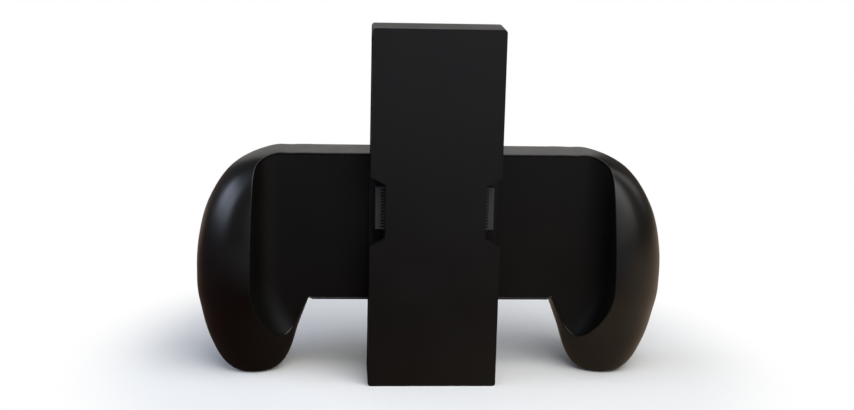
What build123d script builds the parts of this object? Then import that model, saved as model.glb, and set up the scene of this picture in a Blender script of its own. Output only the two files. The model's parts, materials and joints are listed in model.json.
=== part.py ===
from build123d import *
from math import atan2, cos, degrees, hypot, radians, sin, tan
import os

# A grip that stands on a desk and holds two detachable half controllers, one in each bed.
# Millimetres. X runs to the right as seen from the front, Z up, and the front faces -Y.
# The origin is on the ground, in the middle of the width and of the depth.
# Depths are measured back from the front face of the column.

# Driving sizes of the whole
handle_back = 41.0
half_span = 76.8
wing_bottom = 24.8
wing_top = 73.9
wing_back = 30.8
inner_corner_x = 40.2
inner_corner_round = 1.6
tip_center_x = 57.9
bed_face = 14.8
shell_wall = 2.2
panel_wall = 1.8
rim_land = 0.6
seam_gap = 0.1
shell_split = 27.8
form_steps = 3
flat_share = 0.9

# Driving sizes of the beds that the half controllers lie in
bed_side_x = 58.7
bed_corner = 32.0
bed_floor_z = 1.5
bed_draft = 8.0
bed_cup = 8.5
bed_front_reach = 6.0
bed_top_reach = 56.0

# Driving sizes of the column
column_width = 41.4
column_height = 116.0
column_depth = 14.0
column_corner = 1.0
cover_thickness = 1.8
channel_depth = 4.8
channel_back_wall = 1.6
channel_end_wall = 2.5
notch_inner_half = 8.7
notch_outer_half = 11.4
liner_thickness = 1.2
housing_wall = 1.4
housing_back_wall = 2.0
seat_depth = 0.3
fit_gap = 0.1
peg_radius = 1.3
peg_length = 5.0
peg_x = 6.5
peg_gap = 0.05
peg_wall = 1.6
peg_offsets = (-48.0, -20.0, 20.0, 48.0)
rib_thickness = 2.0

# Driving sizes of the magnets and of the yokes behind them
magnet_length = 22.0
magnet_width = 8.0
magnet_thickness = 3.0
magnet_offset = 38.0
yoke_thickness = 1.2
yoke_width = 9.2
yoke_length = 102.0

# Driving sizes of the connectors
contact_count = 13
contact_pitch = 1.0
slot_width = 0.5
slot_depth = 0.7
slot_tip_margin = 1.8
contact_width = 0.4
contact_thickness = 0.25
tab_height = 13.7
tab_thickness = 3.0
tab_set_back = 1.7
tab_edge_round = 0.4
flange_height = 16.8
flange_width = 5.0
flange_thickness = 1.7
float_travel = 0.3
float_gap = 0.15
guide_gap = 0.08
frame_height = 21.0
frame_width = 6.8
frame_length = 4.2
frame_lip = 0.6
connector_board_thickness = 1.0

# Driving sizes of the electronics
board_width = 48.0
board_height = 36.0
board_thickness = 1.2
board_depth = 21.0
board_top_gap = 3.0
board_post_radius = 2.4
board_post_inset = 4.0
board_screw_bite = 3.5
socket_width = 8.9
socket_height = 3.2
socket_length = 7.3
socket_shell = 0.35
socket_bottom = 1.2
socket_tongue_width = 6.7
socket_tongue = 0.7
inlet_gap = 0.2
chip_size = 7.0
chip_thickness = 1.0
chip_x = 12.0
chip_z = 50.0
inlet_depth = 0.5
tongue_sink = 0.8
ribbon_width = 6.0
ribbon_thickness = 0.25
ribbon_window_gap = 0.8
ribbon_slot_gap = 0.06
ribbon_plug = 1.0
ribbon_socket_width = 3.0
ribbon_socket_length = 8.0
ribbon_socket_height = 1.4

# Driving sizes of the rear buttons
button_x = 58.4
button_z = 38.0
button_length = 16.0
button_width = 9.0
button_proud = 0.6
button_gap = 0.25
button_shell = 1.5
flange_margin = 1.6
button_flange_thickness = 1.2
collar_wall = 1.2
collar_end = 33.2
dome_radius = 2.6
dome_height = 1.8
dome_gap = 0.1
dome_skin = 0.3
dome_shoulder = 1.7
dome_shoulder_rise = 0.75
button_board_width = 9.0
button_board_thickness = 1.0
button_post_radius = 2.2
button_post_gap = 0.4
button_screw_bite = 3.0
plunger_radius = 1.6
button_edge_round = 0.4
button_recess = 2.2
cable_width = 4.0
cable_z = 46.0
cable_bend = 2.0
cable_socket_width = 3.0
cable_socket_end = 1.0
cable_socket_x = 20.0

# Driving sizes of the fasteners
screw_thread = 2.0
screw_head = 3.8
screw_head_height = 1.4
screw_bite = 5.0
screw_drive_width = 0.7
screw_drive_length = 2.6
screw_drive_depth = 0.8
screw_clearance = 0.15
boss_wall = 1.6
shell_screw_places = ((30.0, 63.0), (30.0, 35.0), (47.5, 21.0))
column_screw_x = 6.5
column_screw_inset = 6.0

# Places worked out from the driving sizes
overall_depth = handle_back + button_proud
mid_z = column_height / 2
half_column = column_width / 2
channel_floor_x = half_column - channel_depth
liner_back_x = channel_floor_x - liner_thickness
wall_outer_x = liner_back_x - fit_gap
wall_inner_x = wall_outer_x - housing_wall
magnet_back_x = wall_outer_x - magnet_thickness
channel_back = column_depth - channel_back_wall
channel_mid = column_depth / 2
tab_tip_x = half_column - tab_set_back
frame_back_x = wall_outer_x - frame_length
frame_lip_x = wall_outer_x - frame_lip
yoke_back_x = magnet_back_x - yoke_thickness
flange_front_x = frame_lip_x - fit_gap
board_front = board_depth
board_rear = board_depth + board_thickness
board_top = wing_top - board_top_gap
board_middle = board_top - board_height / 2
panel_back = bed_face + panel_wall
seat_floor = bed_face + seat_depth
wing_middle = (wing_bottom + wing_top) / 2
screw_seat = wing_back - screw_head_height
screw_radius = screw_thread / 2
pilot_radius = screw_radius + screw_clearance
boss_radius = screw_radius + boss_wall
panel_boss_end = shell_split - fit_gap
boss_root = bed_face + panel_wall / 2
button_flange_rear = collar_end - fit_gap
button_flange_front = button_flange_rear - button_flange_thickness
dome_rear = button_flange_front - dome_gap
button_board_rear = dome_rear - dome_height
button_board_front = button_board_rear - button_board_thickness
button_post_offset = button_length / 2 + flange_margin + button_post_gap + button_post_radius
button_board_length = 2 * (button_post_offset + button_post_radius)
tab_front = channel_mid - tab_thickness / 2
ribbon_x = frame_back_x - connector_board_thickness - ribbon_thickness / 2
head_radius = screw_head / 2
head_hole_radius = head_radius + screw_clearance
pad_radius = head_hole_radius + boss_wall
pivot_x = inner_corner_x - inner_corner_round
pivot_z = wing_bottom - inner_corner_round


def at(depth):
    """Y of a depth behind the column's front face."""
    return depth - overall_depth / 2


def facing(depth):
    """A plane across the grip at a depth: X to the right, Z up, and its normal to the front."""
    return Plane(origin=(0, at(depth), 0), x_dir=(1, 0, 0), z_dir=(0, -1, 0))


def fan(outer_x, outer_z, front, back, widest, fullness, squareness=0.0):
    """A section of the shoulder, on the line from the inner corner to a point of the outline."""
    run, rise = outer_x - pivot_x, outer_z - pivot_z
    reach = hypot(run, rise)
    crest = (inner_corner_round + reach) / 2
    turn = degrees(atan2(run, rise))
    return turn, pivot_z, inner_corner_round, reach, crest, front, back, widest, fullness, squareness


def level(height, inner_x, outer_x, crest_x, front, back, widest, fullness):
    """A level section of the handle below the shoulder."""
    inner, reach, crest = inner_x - pivot_x, outer_x - pivot_x, crest_x - pivot_x
    return 90, height, inner, reach, crest, front, back, widest, fullness, 0


# The form's sections, from the wing's end round the shoulder and down to the handle's tip
key_sections = [
    fan(pivot_x, wing_top, bed_face - 4.8, wing_back, 22.0, 3.0, 1.0),
    fan(half_span - 31.1, wing_top, bed_face - 6.6, wing_back + 0.5, 23.2, 3.0, 0.9),
    fan(half_span - 24.4, wing_top - 0.1, bed_face - 8.6, wing_back + 1.4, 24.0, 2.9, 0.6),
    fan(half_span - 12.2, wing_top - 5.7, bed_face - 11.8, handle_back - 6.0, 24.0, 2.8, 0.1),
    fan(half_span - 4.4, wing_top - 16.6, bed_face - 13.8, handle_back - 3.0, 22.5, 2.5),
    fan(half_span - 0.9, wing_top - 29.1, bed_face - 14.4, handle_back - 1.0, 22.0, 2.35),
    fan(half_span - 0.1, wing_top - 40.4, bed_face - 14.0, handle_back, 22.0, 2.25),
    fan(half_span - 0.9, pivot_z, bed_face - 12.2, handle_back - 0.5, 22.0, 2.15),
    level(14.5, inner_corner_x + 3.2, half_span - 3.0, 61.2, 6.6, 38.0, 21.0, 2.05),
    level(8.0, inner_corner_x + 5.2, half_span - 5.7, 60.8, 9.0, 34.5, 19.5, 1.95),
    level(3.6, tip_center_x - 10.3, tip_center_x + 10.4, 59.8, 10.8, 30.0, 18.2, 1.95),
    level(1.0, tip_center_x - 7.5, tip_center_x + 7.4, 58.8, 12.2, 25.6, 17.6, 2.0),
    level(0.0, tip_center_x - 4.7, tip_center_x + 4.6, tip_center_x, 14.0, 22.0, 17.4, 2.0),
]


def form_sections():
    """The key sections with smooth steps between them, each value on a Catmull-Rom curve."""
    sections = []
    last = len(key_sections) - 1
    for index in range(last):
        around = [key_sections[min(max(index + shift, 0), last)] for shift in (-1, 0, 1, 2)]
        for step in range(form_steps):
            t = step / form_steps
            sections.append(tuple(
                b + 0.5 * t * (c - a + t * (2 * a - 5 * b + 4 * c - d + t * (3 * b - a - 3 * c + d)))
                for a, b, c, d in zip(*around)
            ))
    sections.append(key_sections[last])
    return sections


def quarter(center_x, center_y, run, rise, fullness, squareness):
    """Control points of a quarter of an oval, from its end on X to its end on Y.

    A fullness of 2 gives an ellipse and a larger one a fuller oval, and a squareness of 1 a flat-sided
    shape with a small corner.
    """
    pull = (8 * 2 ** (-1 / fullness) - 4) / 3
    oval = [(1, 0), (1, 0.6 * pull), (0.7 + 0.3 * pull, 0.3 + 0.6 * pull)]
    oval += [(y, x) for x, y in reversed(oval)]
    flat_sided = [(1, 0), (1, flat_share), (1, 1), (1, 1), (flat_share, 1), (0, 1)]
    points = []
    for (x, y), (flat_x, flat_y) in zip(oval, flat_sided):
        x, y = x + squareness * (flat_x - x), y + squareness * (flat_y - y)
        points.append((center_x + run * x, center_y + rise * y))
    return points


def section_quarters(section, inset):
    """The control points of a section's four quarters, in order round the section."""
    inner, outer, crest, front, back, widest, fullness, squareness = section[2:]
    middle = (inner + outer) / 2
    half = (outer - inner) / 2 - inset
    rear, fore = back - widest - inset, widest - front - inset
    outward, inward = outer - crest - inset, crest - inner - inset
    return (
        quarter(middle, widest, half, rear, fullness, squareness),
        quarter(middle, widest, -half, rear, fullness, squareness)[::-1],
        quarter(crest, widest, -inward, -fore, fullness, squareness),
        quarter(crest, widest, outward, -fore, fullness, squareness)[::-1],
    )


def form(inset=0.0):
    """The right half of the smooth outer form, drawn in by an inset: half the wing and a handle."""
    with BuildPart() as half:
        for section in form_sections():
            turn, height = section[:2]
            if height < 2 * inset:
                continue
            outward = Vector(sin(radians(turn)), 0, cos(radians(turn)))
            plane = Plane(origin=(pivot_x, at(0), height), x_dir=outward, z_dir=outward.cross(Vector(0, 1, 0)))
            with BuildSketch(plane):
                with BuildLine():
                    for points in section_quarters(section, inset):
                        Bezier(*points)
                make_face()
        loft(ruled=True)
        with BuildSketch(Plane(origin=(pivot_x, at(0), pivot_z), x_dir=(0, 0, 1), z_dir=(-1, 0, 0))):
            with BuildLine():
                for points in section_quarters(key_sections[0], inset):
                    Bezier(*points)
            make_face()
        extrude(amount=pivot_x)
    return half.part


def bed(grow=0.0):
    """The space of the right bed: a half controller's outline with a cupped back edge."""
    floor_x = bed_side_x - bed_face * tan(radians(bed_draft)) + grow
    corner = bed_corner + grow
    corner_z = bed_floor_z + bed_corner
    top_z = mid_z + bed_top_reach
    chord = corner * (1 - cos(radians(45)))
    with BuildPart() as space:
        with BuildSketch(facing(bed_face + grow)):
            with BuildLine():
                Polyline((-half_column, bed_floor_z - grow), (-half_column, top_z), (floor_x, top_z), (floor_x, corner_z))
                ThreePointArc(
                    (floor_x, corner_z),
                    (floor_x - chord, corner_z - corner + chord),
                    (floor_x - corner, corner_z - corner),
                )
                Line((floor_x - corner, corner_z - corner), (-half_column, bed_floor_z - grow))
            make_face()
        extrude(amount=bed_face + grow + bed_front_reach, taper=-bed_draft)
        floor_edges = space.faces().sort_by(Axis.Y)[-1].edges()
        cup_edges = floor_edges.filter_by(lambda edge: edge.center().X > half_column and edge.center().Z > bed_floor_z + 2)
        fillet(cup_edges.filter_by(lambda edge: edge.center().Z < top_z - 1), bed_cup + grow)
    return space.part


def save(piece, name):
    """Write one finished piece as a STEP file with its name."""
    piece.label = name
    export_step(piece, f"parts/{name}.step")


def save_pair(piece, name, prefix=""):
    """Write a right-hand piece, and its mirror image for the left hand."""
    save(piece, f"{prefix}right_{name}")
    save(mirror(piece, about=Plane.YZ), f"{prefix}left_{name}")


def screws_at(places, seat, length, toward_front=True):
    """Pan-head screws with a straight drive slot, their heads seated at a depth."""
    turn = 1 if toward_front else -1
    drive_depth = seat + turn * (screw_head_height - screw_drive_depth)
    with BuildPart() as screws:
        for x, z in places:
            with BuildSketch(facing(seat)):
                with Locations((x, z)):
                    Circle(screw_radius)
            extrude(amount=turn * length)
            with BuildSketch(facing(seat)):
                with Locations((x, z)):
                    Circle(head_radius)
            extrude(amount=-turn * screw_head_height)
            with BuildSketch(facing(drive_depth)):
                with Locations((x, z)):
                    Rectangle(screw_drive_length, screw_drive_width)
            extrude(amount=-turn * screw_drive_depth, mode=Mode.SUBTRACT)
    return screws.part


def both_sides(places):
    """The places and their mirror images across the middle."""
    return [(side * x, z) for x, z in places for side in (1, -1)]


os.makedirs("parts", exist_ok=True)

column_screw_places = both_sides([
    (column_screw_x, wing_bottom + column_screw_inset),
    (column_screw_x, wing_top - column_screw_inset),
])
board_post_places = both_sides([
    (board_width / 2 - board_post_inset, board_top - board_post_inset),
    (board_width / 2 - board_post_inset, board_top - board_height + board_post_inset),
])
button_post_places = [(button_x, button_z - button_post_offset), (button_x, button_z + button_post_offset)]
peg_places = both_sides([(peg_x, mid_z + offset) for offset in peg_offsets])
magnet_places = {"upper": mid_z + magnet_offset, "lower": mid_z - magnet_offset}

# Column front cover, with a notch in each side where the connector tab shows
with BuildPart() as column_front_cover:
    with BuildSketch(facing(cover_thickness)):
        with Locations((0, mid_z)):
            RectangleRounded(column_width, column_height, column_corner)
        with BuildLine():
            Polyline(
                (half_column, mid_z - notch_outer_half),
                (half_column, mid_z + notch_outer_half),
                (channel_floor_x, mid_z + notch_inner_half),
                (channel_floor_x, mid_z - notch_inner_half),
                close=True,
            )
        make_face(mode=Mode.SUBTRACT)
        with BuildLine():
            Polyline(
                (-half_column, mid_z - notch_outer_half),
                (-half_column, mid_z + notch_outer_half),
                (-channel_floor_x, mid_z + notch_inner_half),
                (-channel_floor_x, mid_z - notch_inner_half),
                close=True,
            )
        make_face(mode=Mode.SUBTRACT)
    extrude(amount=cover_thickness)
    with BuildSketch(facing(cover_thickness)):
        with Locations(*peg_places):
            Circle(peg_radius)
    extrude(amount=-peg_length)
save(column_front_cover.part, "column_front_cover")

# Column housing: the box behind the cover, with the side channels and the seats of what it holds
with BuildPart() as column_housing:
    with BuildSketch(facing(column_depth)):
        with Locations((0, mid_z)):
            RectangleRounded(column_width, column_height, column_corner)
    extrude(amount=column_depth - cover_thickness)
    with BuildSketch(facing(cover_thickness)):
        with Locations((0, mid_z)):
            Rectangle(2 * wall_inner_x, column_height - 2 * channel_end_wall)
    extrude(amount=cover_thickness + housing_back_wall - column_depth, mode=Mode.SUBTRACT)
    with BuildSketch(facing(cover_thickness)):
        with Locations(*both_sides([((half_column + wall_outer_x) / 2, mid_z)])):
            Rectangle(half_column - wall_outer_x, column_height - 2 * channel_end_wall)
    extrude(amount=cover_thickness - channel_back, mode=Mode.SUBTRACT)
    with BuildSketch(facing(column_depth - housing_back_wall)):
        with Locations(*peg_places):
            Circle(peg_radius + peg_gap + peg_wall)
        with Locations(*both_sides([((peg_x + yoke_back_x) / 2, mid_z + offset) for offset in peg_offsets])):
            Rectangle(yoke_back_x - peg_x, rib_thickness)
    extrude(amount=column_depth - housing_back_wall - cover_thickness)
    with BuildSketch(facing(cover_thickness)):
        with Locations(*peg_places):
            Circle(peg_radius + peg_gap)
    extrude(amount=-peg_length - fit_gap, mode=Mode.SUBTRACT)
    with BuildSketch(facing(seat_floor)):
        with Locations((0, wing_middle)):
            Rectangle(2 * (channel_floor_x - fit_gap), wing_top - wing_bottom - 2 * boss_radius)
    extrude(amount=seat_floor - column_depth)
    with BuildSketch(facing(column_depth - housing_back_wall)):
        with Locations(*column_screw_places):
            Circle(boss_radius)
    extrude(amount=screw_bite)
    with BuildSketch(facing(seat_floor)):
        with Locations(*column_screw_places):
            Circle(pilot_radius)
    extrude(amount=seat_floor - column_depth + housing_back_wall + screw_bite + fit_gap, mode=Mode.SUBTRACT)
    with BuildSketch(facing(seat_floor)):
        with Locations(*both_sides([(ribbon_x, mid_z)])):
            Rectangle(2 * ribbon_window_gap, ribbon_width + 2 * ribbon_window_gap)
    extrude(amount=seat_floor - column_depth + housing_back_wall, mode=Mode.SUBTRACT)
    for window_start in (wall_inner_x, -wall_outer_x):
        with BuildSketch(Plane.YZ.offset(window_start)):
            with Locations((at(channel_mid), mid_z)):
                Rectangle(frame_width + 2 * fit_gap, frame_height + 2 * fit_gap)
            with Locations(*[(at(channel_mid), height) for height in magnet_places.values()]):
                Rectangle(magnet_width + 2 * fit_gap, magnet_length + 2 * fit_gap)
        extrude(amount=housing_wall, mode=Mode.SUBTRACT)
save(column_housing.part, "column_housing")

# Channel liner: the floor of a side channel, with a window for the connector
with BuildPart() as channel_liner:
    with BuildSketch(Plane.YZ.offset(liner_back_x)):
        with Locations((at((cover_thickness + channel_back) / 2), mid_z)):
            Rectangle(
                channel_back - cover_thickness - 2 * fit_gap,
                column_height - 2 * channel_end_wall - 2 * fit_gap,
            )
        with Locations((at(channel_mid), mid_z)):
            SlotOverall(flange_height + 2 * float_travel, frame_width, rotation=90, mode=Mode.SUBTRACT)
    extrude(amount=liner_thickness)
save_pair(channel_liner.part, "channel_liner")

# Magnets behind each liner, near the column's top and bottom
for place, height in magnet_places.items():
    with BuildPart() as magnet:
        with BuildSketch(Plane.YZ.offset(magnet_back_x)):
            with Locations((at(channel_mid), height)):
                Rectangle(magnet_width, magnet_length)
        extrude(amount=magnet_thickness)
    save_pair(magnet.part, "magnet", f"{place}_")

# Magnet yoke: the steel strip across the backs of both magnets of a side
with BuildPart() as magnet_yoke:
    with BuildSketch(Plane.YZ.offset(yoke_back_x)):
        with Locations((at(channel_mid), mid_z)):
            Rectangle(yoke_width, yoke_length)
            Rectangle(frame_width + 2 * fit_gap, frame_height + 2 * fit_gap, mode=Mode.SUBTRACT)
    extrude(amount=yoke_thickness)
save_pair(magnet_yoke.part, "magnet_yoke")

# Connector frame: the guide that the connector tab floats in
with BuildPart() as connector_frame:
    with BuildSketch(Plane.YZ.offset(frame_back_x)):
        with Locations((at(channel_mid), mid_z)):
            Rectangle(frame_width, frame_height)
            Rectangle(
                flange_width + 2 * guide_gap,
                flange_height + 2 * float_travel + 2 * float_gap,
                mode=Mode.SUBTRACT,
            )
    extrude(amount=frame_length - frame_lip)
    with BuildSketch(Plane.YZ.offset(frame_lip_x)):
        with Locations((at(channel_mid), mid_z)):
            Rectangle(frame_width, frame_height)
            Rectangle(
                tab_thickness + 2 * guide_gap,
                tab_height + 2 * float_travel + 2 * float_gap,
                mode=Mode.SUBTRACT,
            )
    extrude(amount=frame_lip)
save_pair(connector_frame.part, "connector_frame")

slot_heights = [mid_z + contact_pitch * (index - (contact_count - 1) / 2) for index in range(contact_count)]
slot_end_x = tab_tip_x - slot_tip_margin
flange_rear_x = flange_front_x - flange_thickness
tab_rear = tab_front + tab_thickness
contact_rear = tab_rear - slot_depth + contact_thickness

# Connector tab: the tongue that plugs into a half controller, slotted on its front and on its back
with BuildPart() as connector_tab:
    with BuildSketch(Plane.YZ.offset(flange_rear_x)):
        with Locations((at(channel_mid), mid_z)):
            Rectangle(flange_width, flange_height)
    extrude(amount=flange_thickness)
    with BuildSketch(Plane.YZ.offset(flange_front_x)):
        with Locations((at(channel_mid), mid_z)):
            Rectangle(tab_thickness, tab_height)
    extrude(amount=tab_tip_x - flange_front_x)
    tip_edges = connector_tab.faces().sort_by(Axis.X)[-1].edges()
    fillet(tip_edges, tab_edge_round)
    for slot_floor, depth in ((tab_front + slot_depth, slot_depth), (tab_rear - slot_depth, -slot_depth)):
        with BuildSketch(facing(slot_floor)):
            with Locations(*[((flange_rear_x + slot_end_x) / 2, height) for height in slot_heights]):
                Rectangle(slot_end_x - flange_rear_x, slot_width)
        extrude(amount=depth, mode=Mode.SUBTRACT)
save_pair(connector_tab.part, "connector_tab")

# Connector contacts: a thin strip in each rear slot, reaching in to the connector board
with BuildPart() as connector_contacts:
    with BuildSketch(facing(contact_rear)):
        with Locations(*[((frame_back_x + slot_end_x) / 2, height) for height in slot_heights]):
            Rectangle(slot_end_x - frame_back_x - 2 * fit_gap, contact_width)
    extrude(amount=contact_thickness)
save_pair(connector_contacts.part, "connector_contacts")

# Connector board: the small board that closes the connector frame from behind
with BuildPart() as connector_board:
    with BuildSketch(Plane.YZ.offset(frame_back_x - connector_board_thickness)):
        with Locations((at(channel_mid), mid_z)):
            Rectangle(frame_width, frame_height)
    extrude(amount=connector_board_thickness)
save_pair(connector_board.part, "connector_board")

# Connector ribbon: the flat cable from a connector board back to the main board
ribbon_front = channel_mid - frame_width / 2 + fit_gap
ribbon_end = board_front - ribbon_socket_height + ribbon_plug
with BuildPart() as connector_ribbon:
    with BuildSketch(facing(ribbon_end)):
        with Locations((ribbon_x, mid_z)):
            Rectangle(ribbon_thickness, ribbon_width)
    extrude(amount=ribbon_end - ribbon_front)
save_pair(connector_ribbon.part, "connector_ribbon")

# Ribbon socket on the front of the main board
with BuildPart() as ribbon_socket:
    with BuildSketch(facing(board_front)):
        with Locations((ribbon_x, mid_z)):
            Rectangle(ribbon_socket_width, ribbon_socket_length)
    extrude(amount=ribbon_socket_height)
    with BuildSketch(facing(board_front - ribbon_socket_height)):
        with Locations((ribbon_x, mid_z)):
            Rectangle(ribbon_thickness + 2 * ribbon_slot_gap, ribbon_width + 2 * ribbon_slot_gap)
    extrude(amount=-ribbon_plug - ribbon_slot_gap, mode=Mode.SUBTRACT)
save_pair(ribbon_socket.part, "ribbon_socket")

# Front panel: the cupped skin of both beds, with the posts and bosses on its back
with BuildPart() as front_panel:
    add(bed(panel_wall))
    add(bed(), mode=Mode.SUBTRACT)
    add(form(rim_land + seam_gap), mode=Mode.INTERSECT)
    with BuildSketch(facing(panel_boss_end)):
        with Locations(*shell_screw_places):
            Circle(boss_radius)
    extrude(amount=panel_boss_end - boss_root)
    mirror(about=Plane.YZ)
    with BuildSketch(facing(board_front)):
        with Locations(*board_post_places):
            Circle(board_post_radius)
    extrude(amount=board_front - boss_root)
    with BuildSketch(facing(panel_boss_end)):
        with Locations(*both_sides(shell_screw_places)):
            Circle(pilot_radius)
    extrude(amount=screw_bite + fit_gap, mode=Mode.SUBTRACT)
    with BuildSketch(facing(board_front)):
        with Locations(*board_post_places):
            Circle(pilot_radius)
    extrude(amount=board_screw_bite + fit_gap, mode=Mode.SUBTRACT)
    with BuildSketch(facing(panel_back)):
        with Locations(*column_screw_places):
            Circle(pilot_radius)
        with Locations(*both_sides([(ribbon_x, mid_z)])):
            Rectangle(2 * ribbon_window_gap, ribbon_width + 2 * ribbon_window_gap)
    extrude(amount=panel_wall, mode=Mode.SUBTRACT)
    with BuildSketch(facing(seat_floor)):
        with Locations((0, wing_middle)):
            Rectangle(2 * (half_column + fit_gap), wing_top - wing_bottom)
    extrude(amount=seat_depth, mode=Mode.SUBTRACT)
save(front_panel.part, "front_panel")

# The hollow outer skin of the wing and handles, which the two shells share
with BuildPart() as panel_seat:
    add(bed(panel_wall + seam_gap))
    add(form(rim_land), mode=Mode.INTERSECT)
with BuildPart() as outer_skin:
    add(form())
    add(bed(), mode=Mode.SUBTRACT)
    add(panel_seat.part, mode=Mode.SUBTRACT)
    add(form(shell_wall), mode=Mode.SUBTRACT)
    mirror(about=Plane.YZ)

socket_mid = board_rear + socket_height / 2

# Front shell: the wing's top and the fronts of the handles, with the slot of the inlet
with BuildPart() as front_shell:
    add(outer_skin.part)
    split(bisect_by=facing(shell_split), keep=Keep.TOP)
    with BuildSketch(Plane.XY.offset(wing_top - 2 * shell_wall)):
        with Locations((0, at(socket_mid))):
            RectangleRounded(
                socket_width + 2 * inlet_gap,
                socket_height + 2 * inlet_gap,
                socket_height / 2,
            )
    extrude(amount=3 * shell_wall, mode=Mode.SUBTRACT)
save(front_shell.part, "front_shell")

# What stands inward from the rear shell: screw pads, button collars and the posts of the button boards
with BuildPart() as rear_fittings:
    with BuildSketch(facing(shell_split + seam_gap)):
        with Locations(*shell_screw_places):
            Circle(pad_radius)
    extrude(amount=shell_split - overall_depth)
    with BuildSketch(facing(collar_end)):
        with Locations((button_x, button_z)):
            SlotOverall(
                button_length + 2 * button_gap + 2 * collar_wall,
                button_width + 2 * button_gap + 2 * collar_wall,
                rotation=90,
            )
    extrude(amount=collar_end - overall_depth)
    with BuildSketch(facing(button_board_rear)):
        with Locations(*button_post_places):
            Circle(button_post_radius)
    extrude(amount=button_board_rear - overall_depth)
    add(form(shell_wall / 2), mode=Mode.INTERSECT)
    mirror(about=Plane.YZ)

# Rear shell: the back of the wing and handles
with BuildPart() as rear_shell:
    add(outer_skin.part)
    split(bisect_by=facing(shell_split + seam_gap), keep=Keep.BOTTOM)
    add(rear_fittings.part)
    with BuildSketch(facing(collar_end)):
        with Locations(*both_sides([(button_x, button_z)])):
            SlotOverall(button_length + 2 * button_gap, button_width + 2 * button_gap, rotation=90)
    extrude(amount=collar_end - overall_depth - button_proud, mode=Mode.SUBTRACT)
    with BuildSketch(facing(shell_split)):
        with Locations(*both_sides(shell_screw_places)):
            Circle(pilot_radius)
    extrude(amount=shell_split - screw_seat, mode=Mode.SUBTRACT)
    with BuildSketch(facing(screw_seat)):
        with Locations(*both_sides(shell_screw_places)):
            Circle(head_hole_radius)
    extrude(amount=screw_seat - overall_depth, mode=Mode.SUBTRACT)
    with BuildSketch(facing(button_board_rear)):
        with Locations(*both_sides(button_post_places)):
            Circle(pilot_radius)
    extrude(amount=-button_screw_bite - fit_gap, mode=Mode.SUBTRACT)
save(rear_shell.part, "rear_shell")

# Main board, on the posts of the front panel
with BuildPart() as main_board:
    with BuildSketch(facing(board_rear)):
        with Locations((0, board_middle)):
            RectangleRounded(board_width, board_height, board_post_inset / 2)
        with Locations(*board_post_places):
            Circle(pilot_radius, mode=Mode.SUBTRACT)
    extrude(amount=board_thickness)
save(main_board.part, "main_board")

# Charging socket on the back of the main board, its mouth in the wing's top wall
socket_low = board_top - socket_length + board_top_gap - inlet_depth
with BuildPart() as charging_socket:
    with BuildSketch(Plane.XY.offset(socket_low)):
        with Locations((0, at(socket_mid))):
            RectangleRounded(socket_width, socket_height, socket_height / 2 - socket_shell / 2)
    extrude(amount=socket_length)
    with BuildSketch(Plane.XY.offset(socket_low + socket_bottom)):
        with Locations((0, at(socket_mid))):
            RectangleRounded(
                socket_width - 2 * socket_shell,
                socket_height - 2 * socket_shell,
                socket_height / 2 - 3 * socket_shell / 2,
            )
            Rectangle(socket_tongue_width, socket_tongue, mode=Mode.SUBTRACT)
    extrude(amount=socket_length - socket_bottom, mode=Mode.SUBTRACT)
    with BuildSketch(Plane.XY.offset(socket_low + socket_length)):
        with Locations((0, at(socket_mid))):
            RectangleRounded(
                socket_width - 2 * socket_shell,
                socket_height - 2 * socket_shell,
                socket_height / 2 - 3 * socket_shell / 2,
            )
    extrude(amount=-tongue_sink, mode=Mode.SUBTRACT)
save(charging_socket.part, "charging_socket")

# Chips on the back of the main board
for side, name in ((1, "controller_chip"), (-1, "charging_chip")):
    with BuildPart() as chip:
        with BuildSketch(facing(board_rear + chip_thickness)):
            with Locations((side * chip_x, chip_z)):
                Rectangle(chip_size, chip_size)
        extrude(amount=chip_thickness)
    save(chip.part, name)

# Rear button: an oval cap that follows the handle's back, with a flange inside and a plunger
with BuildPart() as rear_button:
    with BuildSketch(facing(button_flange_rear)):
        with Locations((button_x, button_z)):
            SlotOverall(button_length, button_width, rotation=90)
    extrude(amount=button_flange_rear - overall_depth - button_proud)
    add(form(-button_proud), mode=Mode.INTERSECT)
    side_faces = rear_button.faces().filter_by(lambda face: abs(face.normal_at().Y) < 0.1)
    rim_edges = side_faces.edges().filter_by(lambda edge: edge.center().Y > at(button_flange_rear) + button_shell)
    fillet(rim_edges.filter_by(Axis.Y, reverse=True), button_edge_round)
    with BuildSketch(facing(button_flange_rear)):
        with Locations((button_x, button_z)):
            SlotOverall(button_length + 2 * flange_margin, button_width + 2 * flange_margin, rotation=90)
    extrude(amount=button_flange_thickness)
    with BuildSketch(facing(button_flange_front)):
        with Locations((button_x, button_z)):
            SlotOverall(button_length - 2 * button_shell, button_width - 2 * button_shell, rotation=90)
            Circle(plunger_radius, mode=Mode.SUBTRACT)
    extrude(amount=-button_recess, mode=Mode.SUBTRACT)
save_pair(rear_button.part, "rear_button")

# Button dome: the snap dome that the button's plunger presses
with BuildPart() as button_dome:
    with BuildSketch(Plane(origin=(button_x, at(button_board_rear), button_z), x_dir=(1, 0, 0), z_dir=(0, 0, 1))):
        with BuildLine():
            Polyline(
                (dome_radius, 0),
                (dome_shoulder, dome_height * dome_shoulder_rise),
                (0, dome_height),
                (0, dome_height - dome_skin),
                (dome_shoulder - dome_skin, dome_height * dome_shoulder_rise - dome_skin),
                (dome_radius - dome_skin, 0),
                close=True,
            )
        make_face()
    revolve(axis=Axis((button_x, at(button_board_rear), button_z), (0, 1, 0)))
save_pair(button_dome.part, "button_dome")

# Button board: the small board behind the dome, on the rear shell's posts
with BuildPart() as button_board:
    with BuildSketch(facing(button_board_rear)):
        with Locations((button_x, button_z)):
            SlotOverall(button_board_length, button_board_width, rotation=90)
        with Locations(*button_post_places):
            Circle(pilot_radius, mode=Mode.SUBTRACT)
    extrude(amount=button_board_thickness)
save_pair(button_board.part, "button_board")

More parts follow.
